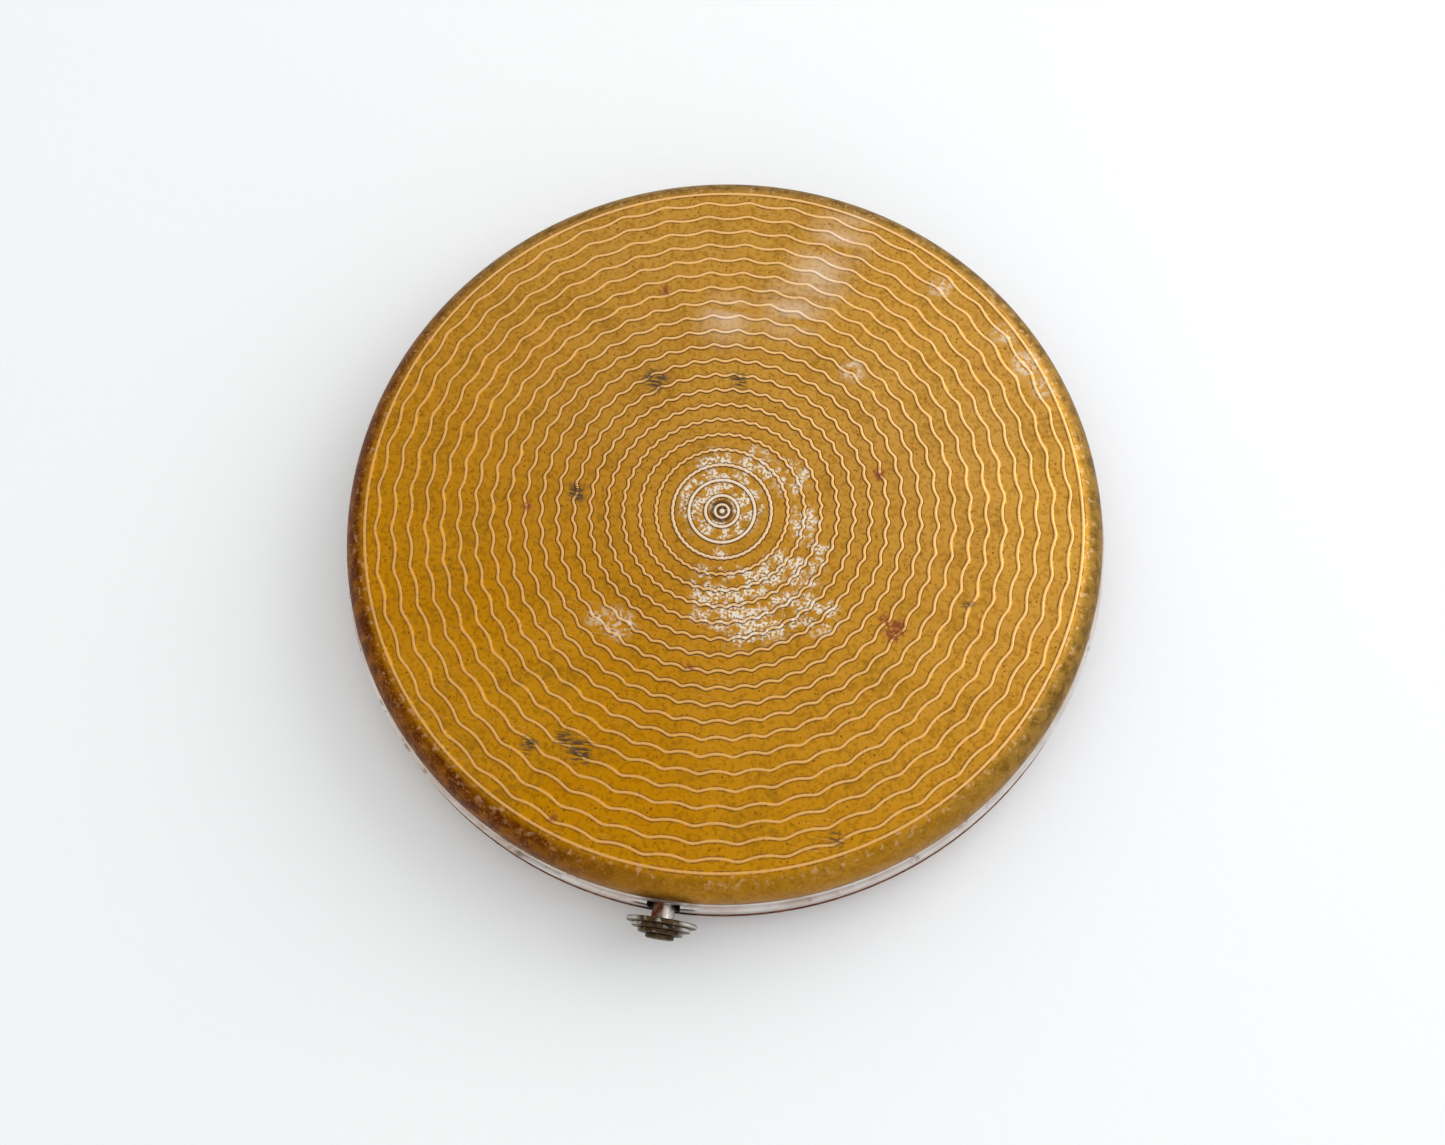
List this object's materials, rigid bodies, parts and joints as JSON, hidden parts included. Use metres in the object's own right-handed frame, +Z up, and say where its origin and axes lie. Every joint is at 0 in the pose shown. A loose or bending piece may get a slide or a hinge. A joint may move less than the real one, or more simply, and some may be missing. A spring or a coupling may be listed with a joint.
{
  "type": "powder compact",
  "caption": "Round hinged powder compact with a gilt wavy-ringed lid, silver rims, push-button catch, mirror, sifter and puff inside.",
  "frame": {"origin": "centre of the flat underside, on the surface it stands on", "axes": "+Z up through the lid, -Y towards the push button, +Y towards the hinge"},
  "size_m": [0.07, 0.0725, 0.0104],
  "materials": {
    "gilt": "worn gilding over silver-coloured metal, satin",
    "silver_plate": "dull polished silver plate with tarnish",
    "brown_gilt": "tarnished brown gilding",
    "button_brass": "turned brass, plated, tarnished in the steps",
    "hinge_metal": "drawn brass, dull",
    "pin_steel": "drawn wire",
    "spring_steel": "spring steel, slightly oxidised",
    "inner_brass": "satin gilt inside",
    "mirror": "silvered glass, a little foxed at the edge",
    "card": "grey-brown card",
    "powder": "loose face powder, pressed flat",
    "gauze": "fine woven gauze",
    "puff_velour": "short velour pile",
    "satin_ribbon": "satin ribbon"
  },
  "bodies": {
    "base": {"base_pan": "brown_gilt", "base_collar": "silver_plate", "base_hinge_leaf": "hinge_metal", "hinge_pin": "pin_steel", "powder_well": "inner_brass", "powder": "powder", "well_deck": "inner_brass", "sifter_ring": "silver_plate", "sifter_gauze": "gauze", "powder_puff": "puff_velour", "puff_ribbon": "satin_ribbon", "button_guide": "spring_steel", "return_spring": "spring_steel"},
    "lid": {"lid_cover": "gilt", "lid_ring": "silver_plate", "mirror_card": "card", "mirror_glass": "mirror", "mirror_bezel": "silver_plate", "lid_hinge_leaf": "hinge_metal", "lid_catch": "spring_steel"},
    "button": {"push_button": "button_brass", "latch_plate": "spring_steel", "latch_washer": "inner_brass"}
  },
  "joints": [
    {"name": "lid_hinge", "type": "hinge", "parent": "base", "child": "lid", "pos_m": [0, 0.03435, 0.006], "axis": [-1, 0, 0], "range_deg": [0, 115]},
    {"name": "button_push", "type": "slide", "parent": "base", "child": "button", "axis": [0, 1, 0], "range_m": [0, 0.0007], "stiffness_N_per_m": 1000, "springref_m": -0.001, "deforming": ["return_spring"]}
  ]
}
